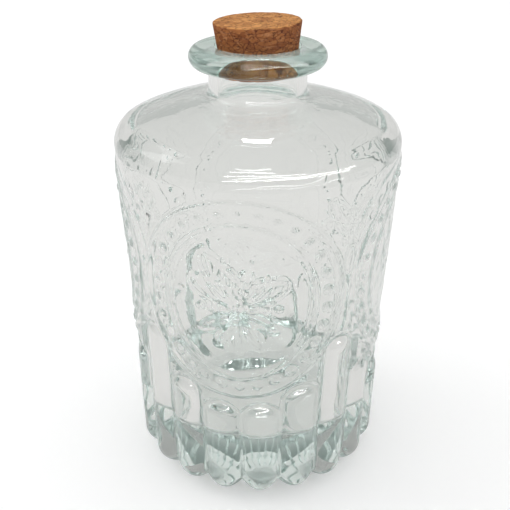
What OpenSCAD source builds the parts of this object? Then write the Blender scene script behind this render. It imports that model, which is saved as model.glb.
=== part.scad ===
// Round bottle of thick pressed glass with a tapered cork in its neck.
// Finger flutes stand round the foot, and four ringed medallions lie on the wall.
// Millimetres. +Z is up. The origin is the middle of the standing ring, on the table.

/* [Body] */
// Outer radius at the shoulder, where the bottle is widest
shoulder_r = 60; // [54:0.5:68]
// Height of that widest line above the table
shoulder_z = 154.5; // [148:0.5:175]
// Radius of the corner between the wall and the domed top
corner_r = 9.2; // [6:0.2:13]
// Radius of the domed top, whose centre lies on the axis
dome_r = 135; // [118:1:170]
// Angle by which the wall leans in towards the foot
wall_lean = 2; // [1:0.25:3.5]
// Thickness of the glass in the wall
wall = 5; // [4:0.25:6]
// Thickness of the glass in the domed top
dome_wall = 4.5; // [3.5:0.25:6]
// Height of the inside floor above the table
floor_z = 34.5; // [24:0.5:38]
// Radius of the inside corner between the floor and the wall
floor_corner_r = 3.5; // [2.5:0.5:10]
// Radius of the inside corner under the shoulder
inside_corner_r = 11; // [8:0.5:16]

/* [Foot] */
// How far the standing ring lies inside the glass behind the flutes
stand_inset = 12.5; // [9.5:0.5:14.5]
// Width of the ring that the bottle stands on
stand_w = 8; // [5:0.5:14]
// Height of the push-up in the middle of the underside
push_up = 5; // [3:0.5:10]
// Height of the bevel from the standing ring up to the glass behind the flutes
foot_bevel_h = 13; // [10:0.5:16]

/* [Neck and lip] */
// Outer radius of the neck
neck_r = 20.2; // [19.6:0.1:24]
// Radius of the fillet between the dome and the neck
neck_fillet = 2.5; // [2:0.25:5]
// Height of the middle of the lip above that fillet
neck_h = 13.1; // [11:0.1:20]
// Outer radius of the rolled lip
lip_r = 28.1; // [26:0.1:31]
// Thickness of the rolled lip
lip_t = 8.4; // [7.4:0.2:10]
// Radius of the rounded edge at the mouth
mouth_round = 1.6; // [1:0.1:2.4]
// How much the bore narrows, on its radius, from the mouth down to the throat
bore_draw = 0.9; // [0.5:0.1:1.2]
// Radius of the flare from the throat into the hollow
throat_round = 6; // [4:0.5:8]

/* [Flutes] */
// Radius of one flute's round section
flute_r = 12; // [11.5:0.25:13]
// How far the flutes stand out of the wall's line, where that line meets the table
flute_proud = 2.6; // [1.8:0.1:3.4]
// Angle by which the flutes lean in towards the foot
flute_lean = 1; // [0.5:0.25:2]
// How far the glass behind the flutes lies inside the notches between them
notch_back = 0.8; // [0.6:0.1:1.2]
// How far each flute runs past the notch beside it, into its neighbour
notch_cover = 1.2; // [1:0.1:1.6]
// Radius that rounds a flute's tip in towards the standing ring
tip_round = 9; // [7:0.5:10]
// Height of the lowest point of a flute's tip above the table
flute_lift = 1; // [0.5:0.25:3]
// Distance from a medallion's edge to the top of a flute under it
flute_gap = 3.2; // [2:0.2:5]
// Height of the top of the tall flutes between two medallions
tall_flute_top = 85; // [78:1:90]

/* [Medallions] */
// Height of a medallion's middle above the table
medallion_z = 105; // [101:0.5:109]
// Radius of the outer ring's outer edge, measured round the wall
ring_out_r = 42.6; // [40:0.2:43]
// How much taller than wide a medallion is
medallion_rise = 1.05; // [1:0.01:1.1]
// Width of the outer ring
ring_out_w = 2.6; // [1.6:0.2:3.6]
// Radius of the inner ring's outer edge, measured round the wall
ring_in_r = 31; // [29:0.2:33]
// Width of the inner ring
ring_in_w = 2; // [1.2:0.2:3]
// How far the rings stand out of the wall
ring_proud = 0.9; // [0.4:0.1:1.4]
// Width of the plain rim outside the outer ring
rim_w = 1; // [0.5:0.1:1.4]

/* [Cork] */
// Radius of the cork's top face
cork_top_r = 17.85; // [17:0.05:19]
// Half of the cork's cone angle
cork_taper = 8; // [6:0.5:10]
// How far the cork stands out of the mouth
cork_out = 9.4; // [6:0.2:14]
// How far the cork reaches into the mouth
cork_in = 11; // [9:0.5:14]
// Bevel round the cork's two edges
cork_bevel = 0.6; // [0.3:0.1:1]
// Running gap between the cork and the bore at the mouth
cork_gap = 0.3; // [0.2:0.05:0.5]

/* [Hidden] */

medallion_count = 4;
flutes_per_medallion = 5;
// Steps on each round stretch of a profile, and on a medallion's outline
arc_steps = 12;
outline_steps = 40;
// Cutting tools and inner cores run past the faces that they meet by this much
over = 1;

// The outer shoulder: centre of the corner, centre of the dome and of the neck's fillet
function dome_centre(r, z, corner, dome) = z - sqrt(pow(dome - corner, 2) - pow(r - corner, 2));
function fillet_centre(dome_z, dome, fillet, neck) = dome_z + sqrt(pow(dome + fillet, 2) - pow(neck + fillet, 2));
dome_z = dome_centre(shoulder_r, shoulder_z, corner_r, dome_r);
fillet_z = fillet_centre(dome_z, dome_r, neck_fillet, neck_r);
lip_z = fillet_z + neck_h;
mouth_z = lip_z + lip_t / 2;

// The wall is a cone: its outer radius at a height
lean_z = shoulder_z - corner_r * sin(wall_lean);
lean_r = shoulder_r - corner_r + corner_r * cos(wall_lean);
function wall_r(z) = lean_r + (z - lean_z) * tan(wall_lean);

// The cork's cone, and the bore that takes it
function cork_r(z) = cork_top_r - (mouth_z + cork_out - z) * tan(cork_taper);
bore_r = cork_r(mouth_z) + cork_gap;
throat_r = bore_r - bore_draw;
cork_low_z = mouth_z - cork_in;

// The inside shoulder follows the outside one
inner_r = shoulder_r - wall;
inner_dome_r = dome_r - dome_wall;
inner_z = dome_z + sqrt(pow(inner_dome_r - inside_corner_r, 2) - pow(inner_r - inside_corner_r, 2));
throat_z = fillet_centre(dome_z, inner_dome_r, throat_round, throat_r);

// Flutes
flute_pitch = 360 / (medallion_count * flutes_per_medallion);
flute_reach = wall_r(0) + flute_proud;
notch_r = (flute_reach - flute_r) * cos(flute_pitch / 2)
    + sqrt(pow(flute_r, 2) - pow((flute_reach - flute_r) * sin(flute_pitch / 2), 2));
core_r = notch_r - notch_back;
finger_half = notch_r * sin(flute_pitch / 2) + notch_cover;
tip_z = flute_lift + finger_half;
plate_r = ring_out_r + rim_w;

// The ring that the bottle stands on
stand_out_r = core_r - stand_inset;
stand_in_r = stand_out_r - stand_w;

// Points along an arc, from angle a to angle b
function arc(x, z, r, a, b) = [for (i = [0 : arc_steps]) let (t = a + (b - a) * i / arc_steps) [x + r * cos(t), z + r * sin(t)]];

// The wall and shoulder as one outline, grown outwards by a relief height
function shoulder_line(grow) = let (
    dome_a = atan2(shoulder_z - dome_z, shoulder_r - corner_r),
    neck_a = atan2(fillet_z - dome_z, neck_r + neck_fillet)
) concat(
    arc(shoulder_r - corner_r, shoulder_z, corner_r + grow, -wall_lean, dome_a),
    arc(0, dome_z, dome_r + grow, dome_a, neck_a)
);

module wall_body(grow, low_z) {
    rotate_extrude($fn = 120)
        polygon(concat(
            [[0, low_z], [wall_r(low_z) + grow, low_z]],
            shoulder_line(grow),
            [[0, dome_z + dome_r]]
        ));
}

// Solid glass from the inside floor up: the wall, the dome, the neck and the rolled lip
module upper_glass() {
    lip_edge = lip_t / 2;
    neck_a = atan2(fillet_z - dome_z, neck_r + neck_fillet);
    rotate_extrude($fn = 120)
        polygon(concat(
            [[0, floor_z], [wall_r(floor_z), floor_z]],
            shoulder_line(0),
            arc(neck_r + neck_fillet, fillet_z, neck_fillet, 180 + neck_a, 180),
            [[neck_r, lip_z]],
            arc(lip_r - lip_edge, lip_z, lip_edge, -90, 90),
            [[0, mouth_z]]
        ));
}

// The wall is cut back to the core round the flutes, but not behind a medallion
module flute_recess() {
    difference() {
        rotate_extrude($fn = 120)
            polygon([
                [core_r, floor_z - over],
                [shoulder_r + over, floor_z - over],
                [shoulder_r + over, tall_flute_top],
                [wall_r(tall_flute_top), tall_flute_top],
                [core_r, tall_flute_top - finger_half / 2]
            ]);
        for (i = [0 : medallion_count - 1])
            rotate([0, 0, i * 360 / medallion_count])
                radial()
                    wrapped_circle(plate_r);
    }
}

module foot() {
    rotate_extrude($fn = 120)
        polygon([
            [0, push_up],
            [stand_in_r, 0],
            [stand_out_r, 0],
            [core_r, foot_bevel_h],
            [core_r, floor_z + over],
            [0, floor_z + over]
        ]);
}

// Front view of one finger: an upright strip with a round tip and a round top
module finger_outline(top_z) {
    translate([-finger_half, tip_z])
        square([2 * finger_half, top_z - finger_half - tip_z]);
    translate([0, tip_z])
        circle(r = finger_half, $fn = 48);
    translate([0, top_z - finger_half])
        circle(r = finger_half, $fn = 48);
}

// Everything inside this turned form is kept, so it rounds the tips in towards the foot
module tip_form() {
    round_r = flute_reach + over;
    rotate_extrude($fn = 120)
        polygon(concat(
            [[0, flute_lift]],
            arc(flute_reach - tip_round, flute_lift + tip_round, tip_round, -90, 0),
            [[round_r, tall_flute_top + flute_r], [0, tall_flute_top + flute_r]]
        ));
}

// The finger is where a leaning round column and that outline meet
module flute(top_z) {
    intersection() {
        tip_form();
        translate([flute_reach - flute_r, 0, tip_z])
            rotate([0, flute_lean, 0])
                translate([0, 0, -tip_z])
                    cylinder(r = flute_r, h = top_z + flute_r, $fn = 64);
        rotate([90, 0, 90])
            linear_extrude(height = shoulder_r)
                finger_outline(top_z);
    }
}

// Height of a flute's top, from its angle beside the nearest medallion
function flute_top(angle) = let (
    beside = wall_r(medallion_z) * angle * PI / 180,
    reach = plate_r + flute_gap
) beside < reach
    ? min(tall_flute_top, medallion_z - medallion_rise * sqrt(reach * reach - beside * beside))
    : tall_flute_top;

module flutes() {
    sector = 360 / medallion_count;
    for (i = [0 : medallion_count * flutes_per_medallion - 1]) {
        angle = (i + 0.5) * flute_pitch;
        beside = abs((angle + sector / 2) % sector - sector / 2);
        rotate([0, 0, angle - 90])
            flute(flute_top(beside));
    }
}

// A medallion's outline drawn round the wall, seen straight from the front
module wrapped_circle(r) {
    wrap_r = wall_r(medallion_z);
    polygon([for (i = [0 : outline_steps - 1]) let (t = 360 * i / outline_steps)
        [wrap_r * sin(r * cos(t) / wrap_r * 180 / PI), medallion_rise * r * sin(t)]]);
}

// An outline at a medallion's place, drawn out from the axis towards the front
module radial() {
    translate([0, 0, medallion_z])
        rotate([90, 0, 0])
            linear_extrude(height = shoulder_r + ring_proud + over)
                children();
}

// An outline pressed out of the wall by a relief height
module pressed(grow) {
    intersection() {
        radial()
            children();
        wall_body(grow, floor_z);
    }
}

module ring(r, w) {
    difference() {
        wrapped_circle(r);
        wrapped_circle(r - w);
    }
}

module medallion() {
    pressed(ring_proud) {
        ring(ring_out_r, ring_out_w);
        ring(ring_in_r, ring_in_w);
    }
}

// The hollow, from the floor up through the throat and the bore
module hollow() {
    dome_a = atan2(inner_z - dome_z, inner_r - inside_corner_r);
    throat_a = atan2(throat_z - dome_z, throat_r + throat_round);
    floor_r = wall_r(floor_z + floor_corner_r) - wall;
    rotate_extrude($fn = 120)
        polygon(concat(
            [[0, floor_z]],
            arc(floor_r - floor_corner_r, floor_z + floor_corner_r, floor_corner_r, -90, 0),
            arc(inner_r - inside_corner_r, inner_z, inside_corner_r, 0, dome_a),
            arc(0, dome_z, inner_dome_r, dome_a, throat_a),
            arc(throat_r + throat_round, throat_z, throat_round, 180 + throat_a, 180),
            [[throat_r, cork_low_z]],
            arc(bore_r + mouth_round, mouth_z - mouth_round, mouth_round, 180, 90),
            [[bore_r + mouth_round, mouth_z + over], [0, mouth_z + over]]
        ));
}

module bottle() {
    color([0.78, 0.88, 0.86, 0.6])
        difference() {
            union() {
                difference() {
                    upper_glass();
                    flute_recess();
                }
                foot();
                flutes();
                for (i = [0 : medallion_count - 1])
                    rotate([0, 0, i * 360 / medallion_count])
                        medallion();
            }
            hollow();
        }
}

module cork() {
    top_z = mouth_z + cork_out;
    color([0.76, 0.5, 0.3])
        rotate_extrude($fn = 96)
            polygon([
                [0, cork_low_z],
                [cork_r(cork_low_z) - cork_bevel, cork_low_z],
                [cork_r(cork_low_z + cork_bevel), cork_low_z + cork_bevel],
                [cork_r(top_z - cork_bevel), top_z - cork_bevel],
                [cork_top_r - cork_bevel, top_z],
                [0, top_z]
            ]);
}

bottle();
cork();
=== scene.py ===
# %% [markdown]
# # A corked bottle of pressed glass
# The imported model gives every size, and this lesson gives the looks. The solids stay where they are for
# collisions, and each one is replaced by a finer piece: the glass, with its flutes, rings, beads and leaves,
# and the cork with its granules. Everything is in metres, with the table at height zero.

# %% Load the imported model
import math

import bpy
import numpy as np
from mathutils import Matrix, Vector, noise


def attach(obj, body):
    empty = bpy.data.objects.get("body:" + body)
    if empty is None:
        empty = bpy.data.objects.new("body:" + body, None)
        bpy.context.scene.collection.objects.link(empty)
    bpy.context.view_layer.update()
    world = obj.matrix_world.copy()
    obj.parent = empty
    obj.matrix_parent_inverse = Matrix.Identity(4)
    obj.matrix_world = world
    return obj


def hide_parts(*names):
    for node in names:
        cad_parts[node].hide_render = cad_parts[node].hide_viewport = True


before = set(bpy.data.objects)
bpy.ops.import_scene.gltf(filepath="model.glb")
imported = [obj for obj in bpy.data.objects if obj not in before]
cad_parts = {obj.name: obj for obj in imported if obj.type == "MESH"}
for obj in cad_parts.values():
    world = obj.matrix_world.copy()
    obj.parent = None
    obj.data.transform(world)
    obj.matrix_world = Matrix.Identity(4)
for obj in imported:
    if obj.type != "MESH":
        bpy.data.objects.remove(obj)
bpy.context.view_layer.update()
MM = 0.001

# %% [markdown]
# ## The photographer's camera
# Glass is drawn by what lies behind it, so the view matters more than for any other material. The camera
# stands close and looks down at the bottle. Its distance was worked out from the curves of the lip, the
# shoulder and the flutes, which open and close with the viewpoint.

# %% Camera
CAMERA_TURN = 7.2
CAMERA_DISTANCE = 305.1 * MM
CAMERA_HEIGHT = 257.9 * MM
turn = math.radians(CAMERA_TURN)
camera_data = bpy.data.cameras.new("photo_camera")
camera = bpy.data.objects.new("photo_camera", camera_data)
bpy.context.collection.objects.link(camera)
camera.location = (CAMERA_DISTANCE * math.sin(turn), -CAMERA_DISTANCE * math.cos(turn), CAMERA_HEIGHT)
camera.rotation_euler = (math.radians(62.22), 0, turn + math.radians(0.7))
camera.rotation_euler.rotate_axis("Z", math.radians(-0.16))
camera_data.sensor_width = 36
camera_data.lens = 53.13
camera_data.shift_x = 0.0114
bpy.context.scene.camera = camera
bpy.context.scene.view_settings.view_transform = "Standard"
print("camera at", [round(c, 3) for c in camera.location])

# %% [markdown]
# Light that enters thick glass is thrown from side to side many times before it comes out again. With the
# few bounces that suit a plain object, those paths are cut short and the foot and the lip turn black, so a
# glass object gets more of them.

# %% Light paths
light_paths = bpy.context.scene.cycles
light_paths.max_bounces = 28
light_paths.transmission_bounces = 28
light_paths.glossy_bounces = 20
print("light bounces", light_paths.max_bounces)

# %% [markdown]
# ## Shader expressions
# A finish is a small sum of masks and noises. Writing it as sums in Python keeps it readable, so one class
# wraps a socket and turns +, -, * and / into Math nodes, and one method adds any other node.

# %% A wrapped socket and a sheet of nodes
class Wire:
    """One value in a material. Arithmetic on it adds Math nodes."""

    def __init__(self, sheet, socket):
        self.sheet = sheet
        self.socket = socket

    def _math(self, operation, first, second=0.0, third=0.0):
        settings = {"operation": operation}
        return self.sheet.add("ShaderNodeMath", settings, {0: first, 1: second, 2: third})

    def __add__(self, other):
        return self._math("ADD", self, other)

    def __sub__(self, other):
        return self._math("SUBTRACT", self, other)

    def __rsub__(self, other):
        return self._math("SUBTRACT", other, self)

    def __mul__(self, other):
        return self._math("MULTIPLY", self, other)

    def __truediv__(self, other):
        return self._math("DIVIDE", self, other)

    def __rtruediv__(self, other):
        return self._math("DIVIDE", other, self)

    def __pow__(self, other):
        return self._math("POWER", self, other)

    def __neg__(self):
        return self._math("MULTIPLY", self, -1.0)

    __radd__ = __add__
    __rmul__ = __mul__

    def step(self, low, high):
        """Goes smoothly from 0 at low to 1 at high."""
        settings = {"interpolation_type": "SMOOTHSTEP"}
        sockets = {"Value": self, "From Min": low, "From Max": high}
        return self.sheet.add("ShaderNodeMapRange", settings, sockets)


class NodeSheet:
    """The nodes of one material or of the world."""

    def __init__(self, owner):
        owner.use_nodes = True
        self.tree = owner.node_tree
        self.tree.nodes.clear()

    def add(self, kind, settings=None, sockets=None, output=0):
        node = self.tree.nodes.new(kind)
        for name, value in (settings or {}).items():
            if name == "stops":
                set_stops(node.color_ramp, value)
            else:
                setattr(node, name, value)
        for name, value in (sockets or {}).items():
            if isinstance(value, Wire):
                self.tree.links.new(value.socket, node.inputs[name])
            else:
                node.inputs[name].default_value = value
        return Wire(self, node.outputs[output]) if len(node.outputs) else None

    def blend(self, amount, first, second):
        """Mixes two colours."""
        settings = {"data_type": "RGBA"}
        return self.add("ShaderNodeMix", settings, {0: amount, 6: first, 7: second}, output=2)


def set_stops(ramp, stops):
    while len(ramp.elements) < len(stops):
        ramp.elements.new(1.0)
    for element, (position, colour) in zip(ramp.elements, stops):
        element.position = position
        element.color = colour


print("shader helpers ready")

# %% [markdown]
# ## Floor and light
# A bottle on a white table in a white room shows a plain pale ground. The floor is a wide pale sheet that
# keeps the bottle's shadow. The room is a gradient: white near the horizon, where it shines through the
# glass, and greyer overhead, so that thick glass has darker edges to bend into view.

# %% Floor
def clear_selection():
    if bpy.context.object and bpy.context.object.mode != "OBJECT":
        bpy.ops.object.mode_set(mode="OBJECT")
    bpy.ops.object.select_all(action="DESELECT")


clear_selection()
bpy.ops.mesh.primitive_grid_add(x_subdivisions=4, y_subdivisions=4, size=12)
floor = bpy.context.object
floor.name = "floor_sheet"

floor_paint = bpy.data.materials.new("floor_paint")
sheet = NodeSheet(floor_paint)
paths = sheet.tree.nodes.new("ShaderNodeLightPath")
seen_straight = Wire(sheet, paths.outputs["Is Camera Ray"])
seen_through = Wire(sheet, paths.outputs["Is Transmission Ray"])
floor_matte = sheet.add("ShaderNodeBsdfDiffuse", None, {"Color": (0.94, 0.94, 0.94, 1)})
floor_glow = sheet.add("ShaderNodeEmission", None, {"Color": (1, 1, 1, 1), "Strength": 0.23})
floor_lifted = sheet.add("ShaderNodeAddShader", None, {0: floor_matte, 1: floor_glow})
floor_even = sheet.add("ShaderNodeEmission", None, {"Color": (0.73, 0.71, 0.69, 1), "Strength": 1.0})
floor_glassy = sheet.add("ShaderNodeMixShader", None, {0: 0.75, 1: floor_matte, 2: floor_even})
floor_other = sheet.add("ShaderNodeMixShader", None, {0: seen_through, 1: floor_matte, 2: floor_glassy})
floor_both = sheet.add("ShaderNodeMixShader", None, {0: seen_straight, 1: floor_other, 2: floor_lifted})
sheet.add("ShaderNodeOutputMaterial", None, {"Surface": floor_both})
floor.data.materials.append(floor_paint)
print("floor", [round(side, 2) for side in floor.dimensions])

# %% World
world = bpy.data.worlds.new("white_room")
bpy.context.scene.world = world
sheet = NodeSheet(world)
direction = sheet.add("ShaderNodeTexCoord", None, None, output=0)
up = sheet.add("ShaderNodeSeparateXYZ", None, {0: direction}, output=2)
camera_side = (math.sin(turn), -math.cos(turn), 0.45)
facing = sheet.add("ShaderNodeVectorMath", {"operation": "DOT_PRODUCT"}, {0: direction, 1: camera_side}, output=1)
plain_room = sheet.blend(up.step(0.1, 0.9), (0.60, 0.60, 0.60, 1), (0.94, 0.94, 0.94, 1))
glass_room = sheet.blend(up.step(0.05, 0.8), (0.56, 0.565, 0.55, 1), (0.20, 0.24, 0.225, 1))
glass_room = sheet.blend(facing.step(0.45, 0.95) * 0.92, glass_room, (0.10, 0.15, 0.13, 1))
sideways = sheet.add("ShaderNodeVectorMath", {"operation": "DOT_PRODUCT"}, {0: direction, 1: (math.cos(turn), math.sin(turn), 0)}, output=1)
glass_room = sheet.blend((sideways * sideways).step(0.25, 0.8) * 0.9, glass_room, (0.10, 0.15, 0.13, 1))
rays = sheet.tree.nodes.new("ShaderNodeLightPath")
straight, soft = Wire(sheet, rays.outputs["Is Camera Ray"]), Wire(sheet, rays.outputs["Is Diffuse Ray"])
room_colour = sheet.blend(soft, glass_room, plain_room)
room_colour = sheet.blend(straight, room_colour, (1, 1, 1, 1))
room = sheet.add("ShaderNodeBackground", None, {"Color": room_colour, "Strength": 1.0})
sheet.add("ShaderNodeOutputWorld", None, {"Surface": room})
print("white room, greyer overhead and behind the camera")


# %% Lamps
def soft_lamp(name, place, aim, width, height, power, roll=0):
    """A rectangular soft box at a place, turned towards a point."""
    data = bpy.data.lights.new(name, "AREA")
    data.shape = "RECTANGLE"
    data.size = width
    data.size_y = height
    data.energy = power
    lamp = bpy.data.objects.new(name, data)
    bpy.context.collection.objects.link(lamp)
    lamp.location = place
    lamp.rotation_euler = (Vector(aim) - Vector(place)).to_track_quat("-Z", "Y").to_euler()
    lamp.rotation_euler.rotate_axis("Z", math.radians(roll))
    return lamp


def from_camera_side(across, towards, height):
    """A place measured from the bottle as the camera sees it: to the right, towards the camera, and up."""
    return (
        across * math.cos(turn) + towards * math.sin(turn),
        across * math.sin(turn) - towards * math.cos(turn),
        height,
    )


soft_lamp("side_box", from_camera_side(-1.3, -0.2, 1.2), (0, 0, 0.1), 0.8, 0.8, 3)
strips = [
    soft_lamp("back_strip", from_camera_side(0.0, -0.80, 1.42), (0, 0, 0.16), 0.26, 0.08, 2.6),
    soft_lamp("front_strip_1", from_camera_side(0.55, 1.25, 0.62), (0, 0, 0.16), 3.2, 0.025, 16, 2),
    soft_lamp("front_strip_2", from_camera_side(0.65, 1.2, 0.80), (0, 0, 0.16), 3.4, 0.03, 20, 4),
    soft_lamp("front_strip_3", from_camera_side(0.1, 1.1, 1.05), (0, 0, 0.16), 1.5, 0.04, 7, 3),
    soft_lamp("front_strip_4", from_camera_side(-0.1, 0.9, 1.40), (0, 0, 0.16), 0.8, 0.07, 6, 1),
]
for strip in strips:
    strip.visible_diffuse = False
print("one soft box, and", len(strips), "strips that only show as highlights")

# %% [markdown]
# ## The outline of the glass
# A pressed bottle is round before anything else, so one outline is drawn once and spun. It starts under
# the foot, goes up the outside, rolls over the lip, and comes back down the inside to the thick floor.
# The rows lie close together where the relief is, and far apart on the smooth inside.

# %% Sizes of the glass, in millimetres
SHOULDER_R, SHOULDER_Z = 60.0, 154.5
CORNER_R, DOME_R = 9.2, 135.0
WALL_LEAN = math.radians(2)
WALL, DOME_WALL = 5.0, 4.5
FLOOR_Z, FLOOR_CORNER_R, INSIDE_CORNER_R = 34.5, 3.5, 11.0
STAND_IN_R, STAND_OUT_R, PUSH_UP, CORE_R, FOOT_BEVEL_H = 33.0, 41.0, 5.0, 53.5, 13.0
NECK_R, NECK_FILLET, NECK_H = 20.2, 2.5, 13.1
LIP_R, LIP_T, MOUTH_ROUND = 28.1, 8.4, 1.6
CORK_TOP_R, CORK_TAPER, CORK_OUT, CORK_IN = 17.85, math.radians(8), 9.4, 11.0
CORK_GAP, BORE_DRAW, THROAT_ROUND = 0.3, 0.9, 6.0

dome_z = SHOULDER_Z - math.sqrt((DOME_R - CORNER_R) ** 2 - (SHOULDER_R - CORNER_R) ** 2)
fillet_z = dome_z + math.sqrt((DOME_R + NECK_FILLET) ** 2 - (NECK_R + NECK_FILLET) ** 2)
lip_z = fillet_z + NECK_H
mouth_z = lip_z + LIP_T / 2
bore_r = CORK_TOP_R - CORK_OUT * math.tan(CORK_TAPER) + CORK_GAP
throat_r = bore_r - BORE_DRAW
inner_dome_r = DOME_R - DOME_WALL
inner_r = SHOULDER_R - WALL
inner_z = dome_z + math.sqrt((inner_dome_r - INSIDE_CORNER_R) ** 2 - (inner_r - INSIDE_CORNER_R) ** 2)
throat_z = dome_z + math.sqrt((inner_dome_r + THROAT_ROUND) ** 2 - (throat_r + THROAT_ROUND) ** 2)
lean_z = SHOULDER_Z - CORNER_R * math.sin(WALL_LEAN)
lean_r = SHOULDER_R - CORNER_R + CORNER_R * math.cos(WALL_LEAN)


def wall_r(z):
    return lean_r + (z - lean_z) * math.tan(WALL_LEAN)


print("mouth", round(mouth_z, 1), "bore", round(bore_r, 1), "inner corner", round(inner_z, 1))

# %% Rows of the outline
FLUTE_LIFT, FLUTE_R = 1.0, 12.0
RELIEF_TOP = 152.0


def arc(x, z, r, start, end, steps):
    """Points after the first one along an arc, angles in radians."""
    angles = [start + (end - start) * i / steps for i in range(1, steps + 1)]
    return [(x + r * math.cos(a), z + r * math.sin(a)) for a in angles]


def line(start, end, steps):
    """Points after the first one along a straight line."""
    return [tuple(a + (b - a) * i / steps for a, b in zip(start, end)) for i in range(1, steps + 1)]


def core_r(z):
    """The plain turned foot behind the flutes."""
    return STAND_OUT_R + (CORE_R - STAND_OUT_R) * min(1.0, z / FOOT_BEVEL_H)


dome_a = math.atan2(SHOULDER_Z - dome_z, SHOULDER_R - CORNER_R)
neck_a = math.atan2(fillet_z - dome_z, NECK_R + NECK_FILLET)
inner_dome_a = math.atan2(inner_z - dome_z, inner_r - INSIDE_CORNER_R)
throat_a = math.atan2(throat_z - dome_z, throat_r + THROAT_ROUND)
floor_r = wall_r(FLOOR_Z + FLOOR_CORNER_R) - WALL

outline = [(0.0, PUSH_UP)]
outline += [(STAND_IN_R * i / 6, PUSH_UP * (1 - (i / 6) ** 2)) for i in range(1, 7)]
outline += line((STAND_IN_R, 0), (STAND_OUT_R, 0), 2)
tip_rows = [FLUTE_LIFT + FLUTE_R * (1 - math.cos(math.radians(5 * i))) for i in range(0, 18)]
outline += [(core_r(z), z) for z in tip_rows if z > 0]
outline += [(CORE_R, z) for z in np.linspace(FOOT_BEVEL_H, 32, 19)]
outline += [(wall_r(z), z) for z in np.linspace(33, lean_z, 119)]
outline += arc(SHOULDER_R - CORNER_R, SHOULDER_Z, CORNER_R, -WALL_LEAN, dome_a, 9)
outline += arc(0, dome_z, DOME_R, dome_a, neck_a, 10)
outline += arc(NECK_R + NECK_FILLET, fillet_z, NECK_FILLET, math.pi + neck_a, math.pi, 4)
outline += line((NECK_R, fillet_z), (NECK_R, lip_z - LIP_T / 2 - 1.2), 2)
outline += arc(NECK_R + 1.2, lip_z - LIP_T / 2 - 1.2, 1.2, math.pi, math.pi / 2, 3)
outline += arc(LIP_R - LIP_T / 2, lip_z, LIP_T / 2, -math.pi / 2, math.pi / 2, 12)
outline += arc(bore_r + MOUTH_ROUND, mouth_z - MOUTH_ROUND, MOUTH_ROUND, math.pi / 2, math.pi, 4)
outline += line((bore_r, mouth_z - MOUTH_ROUND), (throat_r, mouth_z - CORK_IN), 3)
outline += arc(throat_r + THROAT_ROUND, throat_z, THROAT_ROUND, math.pi, math.pi + throat_a, 5)
outline += arc(0, dome_z, inner_dome_r, throat_a, inner_dome_a, 8)
outline += arc(inner_r - INSIDE_CORNER_R, inner_z, INSIDE_CORNER_R, inner_dome_a, 0, 7)
inside_low = (floor_r, FLOOR_Z + FLOOR_CORNER_R)
outline += line((inner_r, inner_z), inside_low, 14)
outline += arc(floor_r - FLOOR_CORNER_R, inside_low[1], FLOOR_CORNER_R, 0, -math.pi / 2, 6)
outline += line((floor_r - FLOOR_CORNER_R, FLOOR_Z), (0, FLOOR_Z), 7)
print("rows", len(outline))

# %% [markdown]
# ## Spin the outline
# By hand, this would be one vertex that is extruded along the outline, and the spin tool round the
# upright axis. The seam and the two poles are merged, and the faces are turned outwards.

# %% Draw and spin
SPIN_STEPS = 380
clear_selection()
bpy.ops.mesh.primitive_plane_add(size=0.01, location=(0, 0, 0))
glass = bpy.context.object
glass.name = "glass_bottle"
bpy.ops.object.mode_set(mode="EDIT")
bpy.ops.mesh.select_mode(type="VERT")
bpy.ops.mesh.select_all(action="SELECT")
bpy.ops.mesh.merge(type="CENTER")
bpy.ops.transform.translate(value=(outline[0][0] * MM, 0, outline[0][1] * MM))
for before, after in zip(outline, outline[1:]):
    move = ((after[0] - before[0]) * MM, 0, (after[1] - before[1]) * MM)
    bpy.ops.mesh.extrude_region_move(TRANSFORM_OT_translate={"value": move})
bpy.ops.mesh.select_all(action="SELECT")
bpy.ops.mesh.spin(steps=SPIN_STEPS, angle=2 * math.pi, center=(0, 0, 0), axis=(0, 0, 1))
bpy.ops.mesh.select_all(action="SELECT")
bpy.ops.mesh.remove_doubles(threshold=0.00002)
bpy.ops.mesh.normals_make_consistent(inside=False)
bpy.ops.object.mode_set(mode="OBJECT")
print("glass", len(glass.data.vertices), "vertices", len(glass.data.polygons), "faces")

# %% [markdown]
# ## Press the relief
# A mould presses flutes, rings and beads into hot glass from outside. Here the same is done with numbers:
# each point of the outside wall is moved to the radius that the mould has at its angle and height. Four
# medallions stand a quarter turn apart, with five flutes to each, and the pattern repeats from there.

# %% Flutes
FLUTE_REACH, FLUTE_LEAN = 57.2, math.radians(1)
FLUTE_TURN = math.radians(18)
TALL_TOP, MEDALLION_Z = 85.0, 105.0
RING_OUT = (43.2, 44.6)
PLATE_GAP = 4.2
TIP_PINCH = 0.55
FLUTE_HALF = 10.0
GROOVE = 2.0
NOTCH_DEEPER = 1.35


def smooth(value, low, high):
    t = np.clip((value - low) / (high - low), 0, 1)
    return t * t * (3 - 2 * t)


def softer_max(a, b, width):
    """The larger of two heights, with the crease between them rounded."""
    h = np.clip(0.5 + 0.5 * (a - b) / width, 0, 1)
    return b + (a - b) * h + width * h * (1 - h)


def flute_top(beside):
    """Height of a flute's arched top, from its distance beside the nearest medallion."""
    reach = RING_OUT[0] + PLATE_GAP
    if beside >= reach:
        return TALL_TOP
    return min(TALL_TOP, MEDALLION_Z - 1.04 * math.sqrt(reach * reach - beside * beside))


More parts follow.
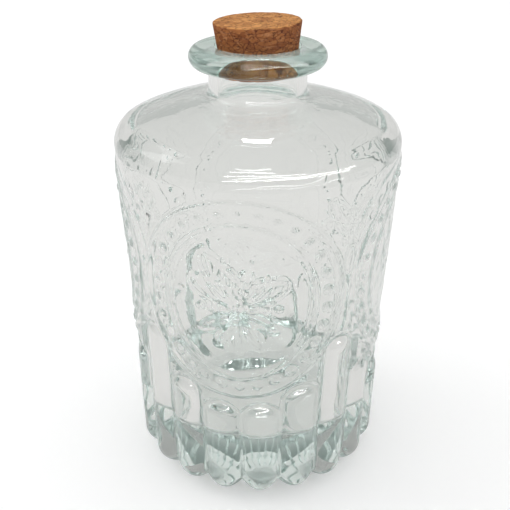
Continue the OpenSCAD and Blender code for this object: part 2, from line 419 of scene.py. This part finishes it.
def flute_radius(offset, z, top):
    """Radius of one flute at an angle from its own middle, and 0 outside its two round ends."""
    lift = np.maximum(0, FLUTE_LIFT + FLUTE_R - z) / FLUTE_R
    above = np.maximum(0, z - (top - FLUTE_HALF))
    middle = FLUTE_REACH - FLUTE_R + np.tan(FLUTE_LEAN) * np.maximum(0, z - FLUTE_R)
    across = middle * np.sin(offset) * (1 + TIP_PINCH * lift)
    room_left = FLUTE_R ** 2 * (1 - lift ** 2) - across ** 2 - above ** 2
    return np.where(room_left > 0, middle * np.cos(offset) + np.sqrt(np.maximum(room_left, 0)), 0)


def flute_mask(offset, z, top):
    """1 on a flute, falling to 0 outside its arched top."""
    across = np.abs(offset) * 57.0
    above = np.maximum(0, z - (top - FLUTE_HALF))
    inside = FLUTE_HALF - np.sqrt(across ** 2 + above ** 2)
    return smooth(inside, -0.4, 0.9)


print("flute tops", [round(flute_top(58.3 * math.radians(a)), 1) for a in (9, 27, 45)])


# %% Medallions
RING_IN = (30.1, 34.2)
BEADS = (36.8, 39.4)
BEAD_COUNT = 30


def oval_distance(x, y, radii):
    """Distance outside an oval, and less than nothing inside."""
    k = np.sqrt((x / radii[0]) ** 2 + (y / radii[1]) ** 2)
    slope = np.sqrt((x / radii[0] ** 2) ** 2 + (y / radii[1] ** 2) ** 2) / np.maximum(k, 1e-6)
    return (k - 1) / np.maximum(slope, 1e-6)


def band(distance, width, height):
    """A raised band with a flattish top and rounded sides."""
    return height * (1 - smooth(np.abs(distance), width / 2 - 0.5, width / 2 + 0.6))


def beads(x, y):
    """Round beads between the two rings."""
    height = np.zeros_like(x)
    for i in range(BEAD_COUNT):
        angle = 2 * math.pi * (i + 0.5) / BEAD_COUNT
        far = np.hypot(x - BEADS[0] * math.cos(angle), y - BEADS[1] * math.sin(angle))
        height = np.maximum(height, 1.05 * (1 - smooth(far, 1.1, 2.2)))
    return height


def leaf(x, y, base, lean, length, width, height):
    """One raised leaf with a groove along its middle. The angle is from upright, in radians."""
    dx, dy = x - base[0], y - base[1]
    along = (dx * math.sin(lean) + dy * math.cos(lean)) / length
    across = dx * math.cos(lean) - dy * math.sin(lean)
    half = width * np.sqrt(np.clip(along * (1 - along) * 4, 0, 1)) * (1.1 - 0.35 * along)
    body = smooth(half - np.abs(across), -0.2, 0.9) * ((along > 0) & (along < 1))
    groove = 1 - 0.65 * (1 - smooth(np.abs(across), 0.3, 1.0))
    return height * body * groove


def leaf_outline(x, y, base, lean, length, width, height):
    """The rim of one leaf, as a soft raised line."""
    dx, dy = x - base[0], y - base[1]
    along = (dx * math.sin(lean) + dy * math.cos(lean)) / length
    across = dx * math.cos(lean) - dy * math.sin(lean)
    half = width * np.sqrt(np.clip(along * (1 - along) * 4, 0, 1)) * (1.1 - 0.35 * along)
    rim = 1 - smooth(np.abs(half - np.abs(across)), 0.3, 1.5)
    return height * rim * ((along > 0) & (along < 1))


def rosette(x, y):
    """A plain fan of leaves over a row of berries, in low relief."""
    height = np.zeros_like(x)
    for degrees, length in ((-68, 21), (-34, 24), (0, 25), (34, 24), (68, 21)):
        height = np.maximum(height, leaf_outline(x, y, (0, 2.5), math.radians(degrees), length, 5.2, 0.4))
    for degrees in (-118, -150, 180, 150, 118):
        height = np.maximum(height, leaf(x, y, (0, -3.5), math.radians(degrees), 20, 3.2, 0.22))
    for i in range(7):
        far = np.hypot(x - (i - 3) * 5.2, y + 0.5 + 0.12 * (i - 3) ** 2)
        height = np.maximum(height, 0.5 * (1 - smooth(far, 0.5, 2.2)))
    return height


def medallion(x, y):
    height = band(oval_distance(x, y, (RING_OUT[0] - 1.3, RING_OUT[1] - 1.3)), 2.4, 0.75)
    height = np.maximum(height, band(oval_distance(x, y, RING_IN), 1.8, 0.65))
    height = np.maximum(height, beads(x, y))
    return np.maximum(height, rosette(x, y))


def spandrel(x, y):
    """Leaves between two medallions, high on the wall. x is measured from the middle between them."""
    height = np.zeros_like(x)
    for degrees, length in ((-64, 15), (-34, 18), (34, 18), (64, 15)):
        height = np.maximum(height, leaf_outline(x, y, (0, 132), math.radians(degrees), length, 3.0, 0.4))
    for side in (-1, 1):
        height = np.maximum(height, leaf(x, y, (side * 2.8, 127), math.radians(16 + side * 4), 17, 2.0, 0.9))
    height = np.maximum(height, leaf(x, y, (0, 126), math.pi, 13, 1.8, 0.8))
    return height


print("a medallion has", BEAD_COUNT, "beads")

# %% Move the points
points = np.empty(len(glass.data.vertices) * 3)
glass.data.vertices.foreach_get("co", points)
points = points.reshape(-1, 3) / MM
radius = np.hypot(points[:, 0], points[:, 1])
height_z = points[:, 2]
plain_wall = lean_r + (height_z - lean_z) * math.tan(WALL_LEAN)
below_floor = height_z < FLOOR_Z - 1.5
outside = (radius > STAND_OUT_R + 0.01) & (height_z < RELIEF_TOP) & (below_floor | (radius > plain_wall - 2))
z = height_z[outside]
angle = np.arctan2(points[outside, 0], -points[outside, 1])
quarter = math.pi / 2
from_medallion = (angle + quarter / 2) % quarter - quarter / 2
x = from_medallion * wall_r(MEDALLION_Z)
wall_line = plain_wall[outside]

fluted = np.zeros_like(z)
mask = np.zeros_like(z)
for step in range(-3, 3):
    middle = FLUTE_TURN * (step + 0.5)
    top = flute_top(abs(middle) * wall_r(MEDALLION_Z))
    offset = from_medallion - middle
    near = np.abs(offset) < FLUTE_TURN
    one = np.where(near, flute_radius(np.where(near, offset, 0), z, top), 0)
    fluted = np.maximum(fluted, one)
    mask = np.maximum(mask, np.where(near, flute_mask(offset, z, top), 0))

clear_of_plate = smooth(oval_distance(x, z - MEDALLION_Z, RING_OUT), 0.0, 1.6)
mask = mask * np.where(z > MEDALLION_Z - RING_OUT[1] - 4, clear_of_plate, 1)
foot_line = np.minimum(wall_line, STAND_OUT_R + (CORE_R - STAND_OUT_R) * z / FOOT_BEVEL_H)
plain = np.where(z < 34, np.minimum(foot_line, CORE_R), wall_line - (wall_line - CORE_R) * (1 - smooth(z, 34, 42)))
crest = FLUTE_REACH + np.tan(FLUTE_LEAN) * np.maximum(0, z - FLUTE_R)
fluted = np.where(fluted > 0, crest - (crest - fluted) * NOTCH_DEEPER, fluted)
grooved = np.maximum(fluted, plain - GROOVE)
new_radius = plain + (grooved - plain) * mask
new_radius = np.where(z < 34, np.maximum(plain, fluted), new_radius)
relief = medallion(x, z - MEDALLION_Z)
from_corner = np.where(x > 0, x - quarter / 2 * wall_r(MEDALLION_Z), x + quarter / 2 * wall_r(MEDALLION_Z))
relief = np.maximum(relief, spandrel(from_corner, z))
new_radius = new_radius + relief
points[outside, 0] = new_radius * np.sin(angle)
points[outside, 1] = -new_radius * np.cos(angle)
print("outside points", int(outside.sum()), "reach", round(float(new_radius.max()), 2), "mm")

# %% [markdown]
# The inside of a blown bottle is never true. Slow ripples on the inside wall make the lines behind it
# waver, as they do in old glass, and they are small enough that nobody would feel them.

# %% Ripple the inside
inside = (~outside) & (height_z > FLOOR_Z - 1.5) & (height_z < fillet_z - 6) & (radius > 4)
for index in np.nonzero(inside)[0]:
    place = Vector(points[index])
    wave = noise.noise(place / 17.0) * 0.45 + noise.noise(place / 7.0 + Vector((9, 2, 5))) * 0.12
    if height_z[index] > FLOOR_Z + 2 and radius[index] < plain_wall[index] - 3:
        points[index, :2] *= 1 + wave / radius[index]
    if height_z[index] < FLOOR_Z + 4:
        points[index, 2] += wave * 1.2
glass.data.vertices.foreach_set("co", (points * MM).ravel())
glass.data.update()
glass.data.shade_smooth()
print("rippled", int(inside.sum()), "points")

# %% [markdown]
# ## Sea-green glass
# Clear bottle glass has a trace of iron. A thin wall looks colourless, and the thick foot turns green,
# because light loses red on its way through. So the surface is clear, and the colour is in the volume.

# %% Glass finish
glass_finish = bpy.data.materials.new("sea_green_glass")
sheet = NodeSheet(glass_finish)
where = sheet.add("ShaderNodeTexCoord", None, None, output=3)
swell = sheet.add("ShaderNodeTexNoise", None, {"Vector": where, "Scale": 60.0, "Detail": 1.5})
grain = sheet.add("ShaderNodeTexNoise", None, {"Vector": where, "Scale": 420.0, "Detail": 1.0})
waver = swell * 0.8 + grain * 0.06
bumped = sheet.add("ShaderNodeBump", None, {"Height": waver, "Strength": 0.35, "Distance": 0.0006})
flat_place = sheet.add("ShaderNodeVectorMath", {"operation": "MULTIPLY"}, {0: where, 1: (1, 1, 0)})
from_axis = sheet.add("ShaderNodeVectorMath", {"operation": "LENGTH"}, {0: flat_place}, output=1)
height = sheet.add("ShaderNodeSeparateXYZ", None, {0: where}, output=2)
underside = (1 - from_axis.step(0.040, 0.043)) * (1 - height.step(0.006, 0.009))
lip_tint = sheet.blend(height.step(0.1822, 0.1845), (0.99, 1.0, 0.995, 1), (0.72, 0.85, 0.80, 1))
clear = sheet.add("ShaderNodeBsdfPrincipled", None, {
    "Base Color": lip_tint,
    "Roughness": underside * 0.05,
    "IOR": 1.5,
    "Transmission Weight": 1.0,
    "Normal": bumped,
})
tint = sheet.add("ShaderNodeVolumeAbsorption", None, {"Color": (0.70, 0.865, 0.83, 1), "Density": 4.5})
sheet.add("ShaderNodeOutputMaterial", None, {"Surface": clear, "Volume": tint})
glass.data.materials.clear()
glass.data.materials.append(glass_finish)
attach(glass, "bottle")
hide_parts("bottle")
print("glass tinted in its volume")

# %% [markdown]
# ## The cork
# The stopper is pressed from cork granules and ground to a taper. It is a cone with bevelled rims, turned
# into an even mesh, so that granules can be chipped out of its side. The top is ground smoother.

# %% Cork shape
CORK_ASKEW = math.radians(1.7)
cork_low_z = mouth_z - CORK_IN
cork_top_z = mouth_z + CORK_OUT
cork_low_r = CORK_TOP_R - (cork_top_z - cork_low_z) * math.tan(CORK_TAPER)
clear_selection()
bpy.ops.mesh.primitive_cone_add(
    vertices=96,
    radius1=cork_low_r * MM,
    radius2=CORK_TOP_R * MM,
    depth=(cork_top_z - cork_low_z) * MM,
    location=(0, 0, (cork_low_z + cork_top_z) / 2 * MM),
)
cork = bpy.context.object
cork.name = "cork_stopper"
bpy.ops.object.transform_apply(location=True, rotation=True, scale=True)
bpy.ops.object.mode_set(mode="EDIT")
bpy.ops.mesh.select_mode(type="FACE")
bpy.ops.mesh.select_all(action="DESELECT")
bpy.ops.object.mode_set(mode="OBJECT")
for face in cork.data.polygons:
    face.select = abs(face.normal.z) > 0.9
bpy.ops.object.mode_set(mode="EDIT")
bpy.ops.mesh.bevel(offset=0.6 * MM, segments=3, affect="EDGES")
bpy.ops.object.mode_set(mode="OBJECT")
grid = cork.modifiers.new("even_mesh", "REMESH")
grid.mode = "VOXEL"
grid.voxel_size = 0.55 * MM
bpy.ops.object.modifier_apply(modifier="even_mesh")
print("cork", len(cork.data.polygons), "faces")

# %% Chip the granules
def chip(place, normal):
    """How far a point of the cork lies below its ground face, in millimetres."""
    rough = 1.0 if abs(normal.z) < 0.5 else 0.45
    apart, _ = noise.voronoi(place / 2.3)
    crack = max(0.0, 0.16 - (apart[1] - apart[0])) / 0.16
    lost = max(0.0, noise.noise(place / 3.1 + Vector((4, 7, 1))) - 0.28)
    return rough * (0.22 * crack + 1.5 * lost + 0.12 * noise.noise(place / 0.9))


cork.data.update()
for vertex in cork.data.vertices:
    vertex.co -= vertex.normal * max(0.0, chip(vertex.co / MM, vertex.normal)) * MM
cork.data.shade_smooth()

# Whoever closed the bottle pushed the cork in a little askew, which the clearance in the mouth allows.
cork_mouth = Matrix.Translation((0, 0, mouth_z * MM))
askew = Matrix.Rotation(CORK_ASKEW, 4, (math.sin(turn), -math.cos(turn), 0))
cork.data.transform(cork_mouth @ askew @ cork_mouth.inverted())
print("chipped", len(cork.data.vertices), "points")

# %% Cork finish
cork_finish = bpy.data.materials.new("pressed_cork")
sheet = NodeSheet(cork_finish)
where = sheet.add("ShaderNodeTexCoord", None, None, output=3)
warp = sheet.add("ShaderNodeTexNoise", None, {"Vector": where, "Scale": 300.0, "Detail": 2.0}, output=1)
bent = sheet.add("ShaderNodeVectorMath", {"operation": "MULTIPLY_ADD"}, {0: warp, 1: (0.0022, 0.0022, 0.0022), 2: where})
pressed = sheet.add("ShaderNodeVectorMath", {"operation": "MULTIPLY"}, {0: bent, 1: (1, 1, 1.8)})
streaky = sheet.add("ShaderNodeVectorMath", {"operation": "MULTIPLY"}, {0: where, 1: (1, 1, 4)})
granules = sheet.add("ShaderNodeTexVoronoi", {"feature": "F1"}, {"Vector": pressed, "Scale": 330.0}, output=1)
tone = sheet.add("ShaderNodeSeparateColor", None, {0: granules})
edges = sheet.add("ShaderNodeTexVoronoi", {"feature": "DISTANCE_TO_EDGE"}, {"Vector": pressed, "Scale": 330.0})
specks = sheet.add("ShaderNodeTexNoise", None, {"Vector": pressed, "Scale": 600.0, "Detail": 4.0, "Roughness": 0.7})
patches = sheet.add("ShaderNodeTexNoise", None, {"Vector": where, "Scale": 160.0, "Detail": 3.0})
streaks = sheet.add("ShaderNodeTexNoise", None, {"Vector": streaky, "Scale": 260.0, "Detail": 3.0})
facing_up = sheet.add("ShaderNodeSeparateXYZ", None, {0: sheet.add("ShaderNodeNewGeometry", None, None, output=1)}, output=2)
on_top = facing_up.step(0.3, 0.9)
warm = sheet.blend(tone, (0.46, 0.172, 0.047, 1), (0.82, 0.39, 0.12, 1))
warm = sheet.blend(patches.step(0.42, 0.7), warm, (0.66, 0.29, 0.08, 1))
warm = sheet.blend((1 - on_top) * streaks.step(0.52, 0.68) * 0.6, warm, (1.0, 0.58, 0.26, 1))
dark = specks.step(0.55, 0.65) * 0.85
seams = (1 - edges.step(0.0, 0.085)) * patches.step(0.40, 0.55)
brown = sheet.blend(dark, warm, (0.13, 0.038, 0.012, 1))
seamed = sheet.blend(seams * (0.85 - on_top * 0.25), brown, (0.17, 0.045, 0.014, 1))
# Painted shade and light: the cork's side is darkened and its top slightly lightened, by which way the surface
# faces.
painted_top_light_side_shade = sheet.blend(on_top, (0.62, 0.47, 0.45, 1), (1.05, 1.05, 1.05, 1))
# The cork's colour is multiplied by that painted shade on the side and painted light on the top.
cork_colour_with_painted_shade = sheet.add("ShaderNodeMix", {"data_type": "RGBA", "blend_type": "MULTIPLY"}, {0: 1.0, 6: seamed, 7: painted_top_light_side_shade}, output=2)
pits = specks * 0.5 + edges.step(0.0, 0.10) * 0.5 - dark * 0.5
cork_bump = sheet.add("ShaderNodeBump", None, {"Height": pits, "Strength": 0.7, "Distance": 0.0005})
matte = sheet.add("ShaderNodeBsdfPrincipled", None, {
    "Base Color": cork_colour_with_painted_shade,
    "Roughness": 0.85,
    "Specular IOR Level": 0.25,
    "Normal": cork_bump,
})
sheet.add("ShaderNodeOutputMaterial", None, {"Surface": matte})
cork.data.materials.clear()
cork.data.materials.append(cork_finish)
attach(cork, "cork")
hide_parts("cork")
print("cork finished")
